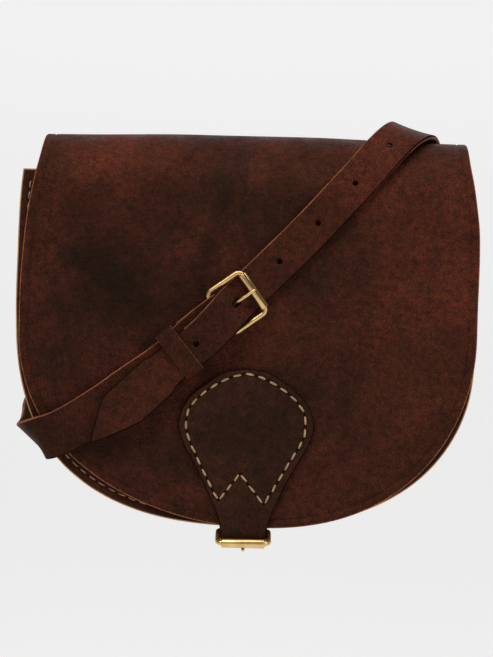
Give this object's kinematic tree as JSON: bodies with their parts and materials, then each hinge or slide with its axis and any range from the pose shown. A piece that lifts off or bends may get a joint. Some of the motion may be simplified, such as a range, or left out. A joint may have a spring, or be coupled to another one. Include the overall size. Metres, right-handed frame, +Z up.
{
  "type": "saddle bag",
  "caption": "D-shaped brown leather saddle bag: flap folded over the top, stitched teardrop closing tab with a roller buckle below, buckled shoulder strap.",
  "frame": {"origin": "midway between the two strap anchors, on the back panel's outer face", "axes": "+X to the right seen from the front, +Y out of the back panel, +Z up"},
  "size_m": [0.2463, 0.0847, 0.2313],
  "materials": {
    "leather": "matte full-grain, raw cut edges",
    "thread": "waxed, matt",
    "brass": "pale, polished"
  },
  "bodies": {
    "body": {"back_panel": "leather", "front_panel": "leather", "gusset": "leather", "front_seam_thread": "thread", "back_seam_thread": "thread", "closure_chape": "leather", "closure_chape_thread": "thread", "strap_left_thread": "thread", "strap_right_thread": "thread"},
    "flap": {"flap": "leather", "closure_tab": "leather", "closure_tab_thread": "thread", "strap_left": "leather", "strap_right": "leather"},
    "closure_buckle": {"closure_buckle_frame": "brass"},
    "closure_roller": {"closure_buckle_roller": "brass"},
    "closure_prong": {"closure_buckle_prong": "brass"},
    "strap_buckle": {"strap_buckle_frame": "brass"},
    "strap_roller": {"strap_buckle_roller": "brass"},
    "strap_prong": {"strap_buckle_prong": "brass"},
    "keeper": {"strap_keeper": "leather"}
  },
  "joints": [
    {"name": "flap_hinge", "type": "hinge", "parent": "body", "child": "flap", "pos_m": [0, 0.0001, 0.027], "axis": [-1, 0, 0], "range_deg": [0, 150], "deforming": ["strap_left", "strap_right", "closure_tab"]},
    {"name": "closure_buckle_swing", "type": "hinge", "parent": "body", "child": "closure_buckle", "pos_m": [0.0003, -0.0515, -0.1686], "axis": [1, 0, 0], "range_deg": [-2, 20]},
    {"name": "closure_roller_spin", "type": "hinge", "parent": "closure_buckle", "child": "closure_roller", "pos_m": [0.0003, -0.0697, -0.1733], "axis": [1, 0, 0], "continuous": true},
    {"name": "closure_prong_swing", "type": "hinge", "parent": "closure_buckle", "child": "closure_prong", "pos_m": [0.0003, -0.0515, -0.1686], "axis": [1, 0, 0], "range_deg": [0, 14]},
    {"name": "strap_buckle_swing", "type": "hinge", "parent": "flap", "child": "strap_buckle", "pos_m": [-0.01478, -0.07, -0.05323], "axis": [0.5878, 0, -0.809], "range_deg": [0, 12]},
    {"name": "strap_roller_spin", "type": "hinge", "parent": "strap_buckle", "child": "strap_roller", "pos_m": [0.00238, -0.0716, -0.04077], "axis": [0.5878, 0, -0.809], "continuous": true},
    {"name": "strap_prong_swing", "type": "hinge", "parent": "strap_buckle", "child": "strap_prong", "pos_m": [-0.01478, -0.07, -0.05323], "axis": [0.5878, 0, -0.809], "range_deg": [0, 8]},
    {"name": "keeper_slide", "type": "slide", "parent": "flap", "child": "keeper", "axis": [-0.7716, 0, -0.6361], "range_m": [-0.002, 0.005]}
  ]
}
